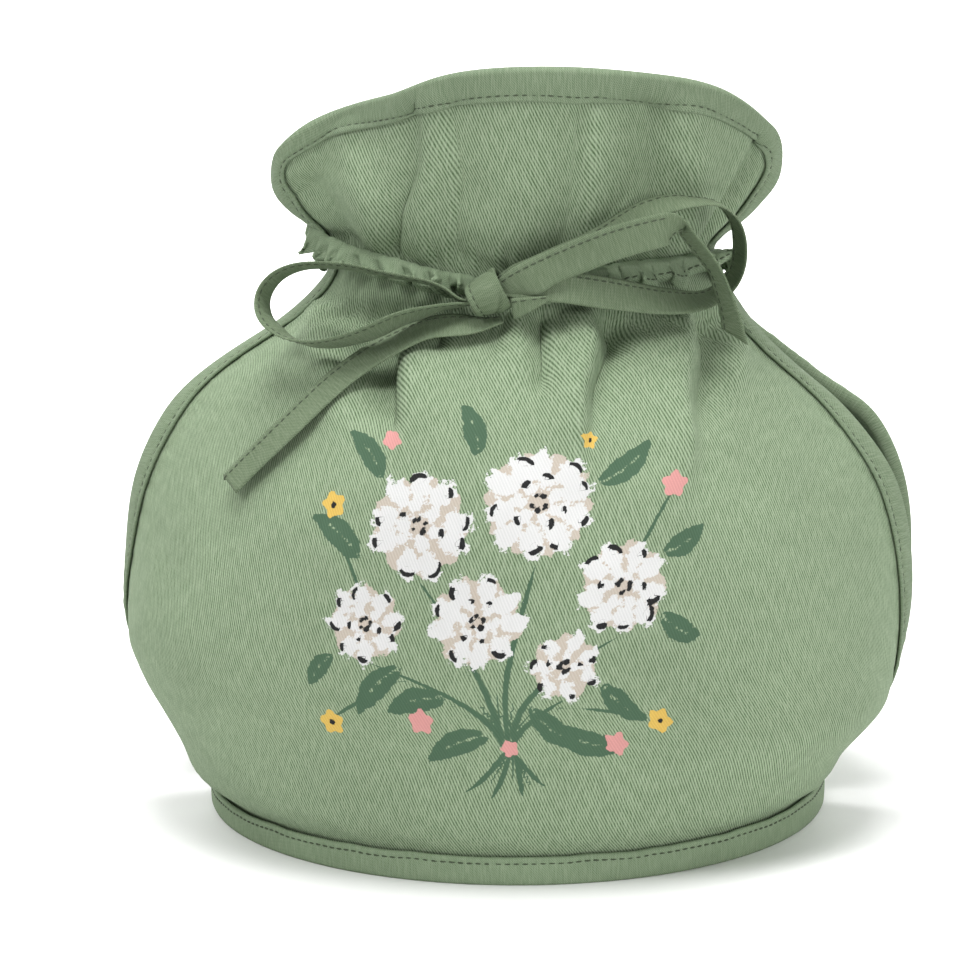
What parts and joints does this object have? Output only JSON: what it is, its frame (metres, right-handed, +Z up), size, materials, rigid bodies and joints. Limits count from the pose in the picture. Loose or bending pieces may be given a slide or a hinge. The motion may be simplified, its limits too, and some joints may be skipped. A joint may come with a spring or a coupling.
{
  "type": "tea cosy",
  "caption": "Drawstring tea cosy of wadded twill cloth: bound edges, sides left open for spout and handle, a gathered neck tied in a bow and a flared collar.",
  "frame": {"origin": "middle of the box that holds the cosy, at the level of the hem's underside", "axes": "+X to the right as the bow is faced, -Y out of the front panel, +Z up"},
  "size_m": [0.2364, 0.215, 0.2242],
  "materials": {
    "front_panel_cloth": "sage green cotton twill",
    "back_panel_cloth": "sage green cotton twill",
    "front_edge_binding_cloth": "sage green bias binding",
    "back_edge_binding_cloth": "sage green bias binding",
    "hem_binding_cloth": "sage green bias binding",
    "front_casing_left_cloth": "ruched sage green cotton",
    "front_casing_right_cloth": "ruched sage green cotton",
    "back_casing_cloth": "ruched sage green cotton",
    "tie_neck_run_cloth": "sage green cotton tape",
    "tie_knot_cloth": "sage green cotton tape",
    "tie_loop_left_cloth": "sage green cotton tape",
    "tie_loop_right_cloth": "sage green cotton tape",
    "tie_tail_left_cloth": "sage green cotton tape",
    "tie_tail_right_cloth": "sage green cotton tape",
    "tie_tuck_cloth": "sage green cotton tape"
  },
  "bodies": {
    "root": {"front_panel": "front_panel_cloth", "back_panel": "back_panel_cloth", "front_edge_binding": "front_edge_binding_cloth", "back_edge_binding": "back_edge_binding_cloth", "hem_binding": "hem_binding_cloth", "front_casing_left": "front_casing_left_cloth", "front_casing_right": "front_casing_right_cloth", "back_casing": "back_casing_cloth", "tie_neck_run": "tie_neck_run_cloth", "tie_knot": "tie_knot_cloth", "tie_loop_left": "tie_loop_left_cloth", "tie_loop_right": "tie_loop_right_cloth", "tie_tail_left": "tie_tail_left_cloth", "tie_tail_right": "tie_tail_right_cloth", "tie_tuck": "tie_tuck_cloth"}
  },
  "joints": []
}
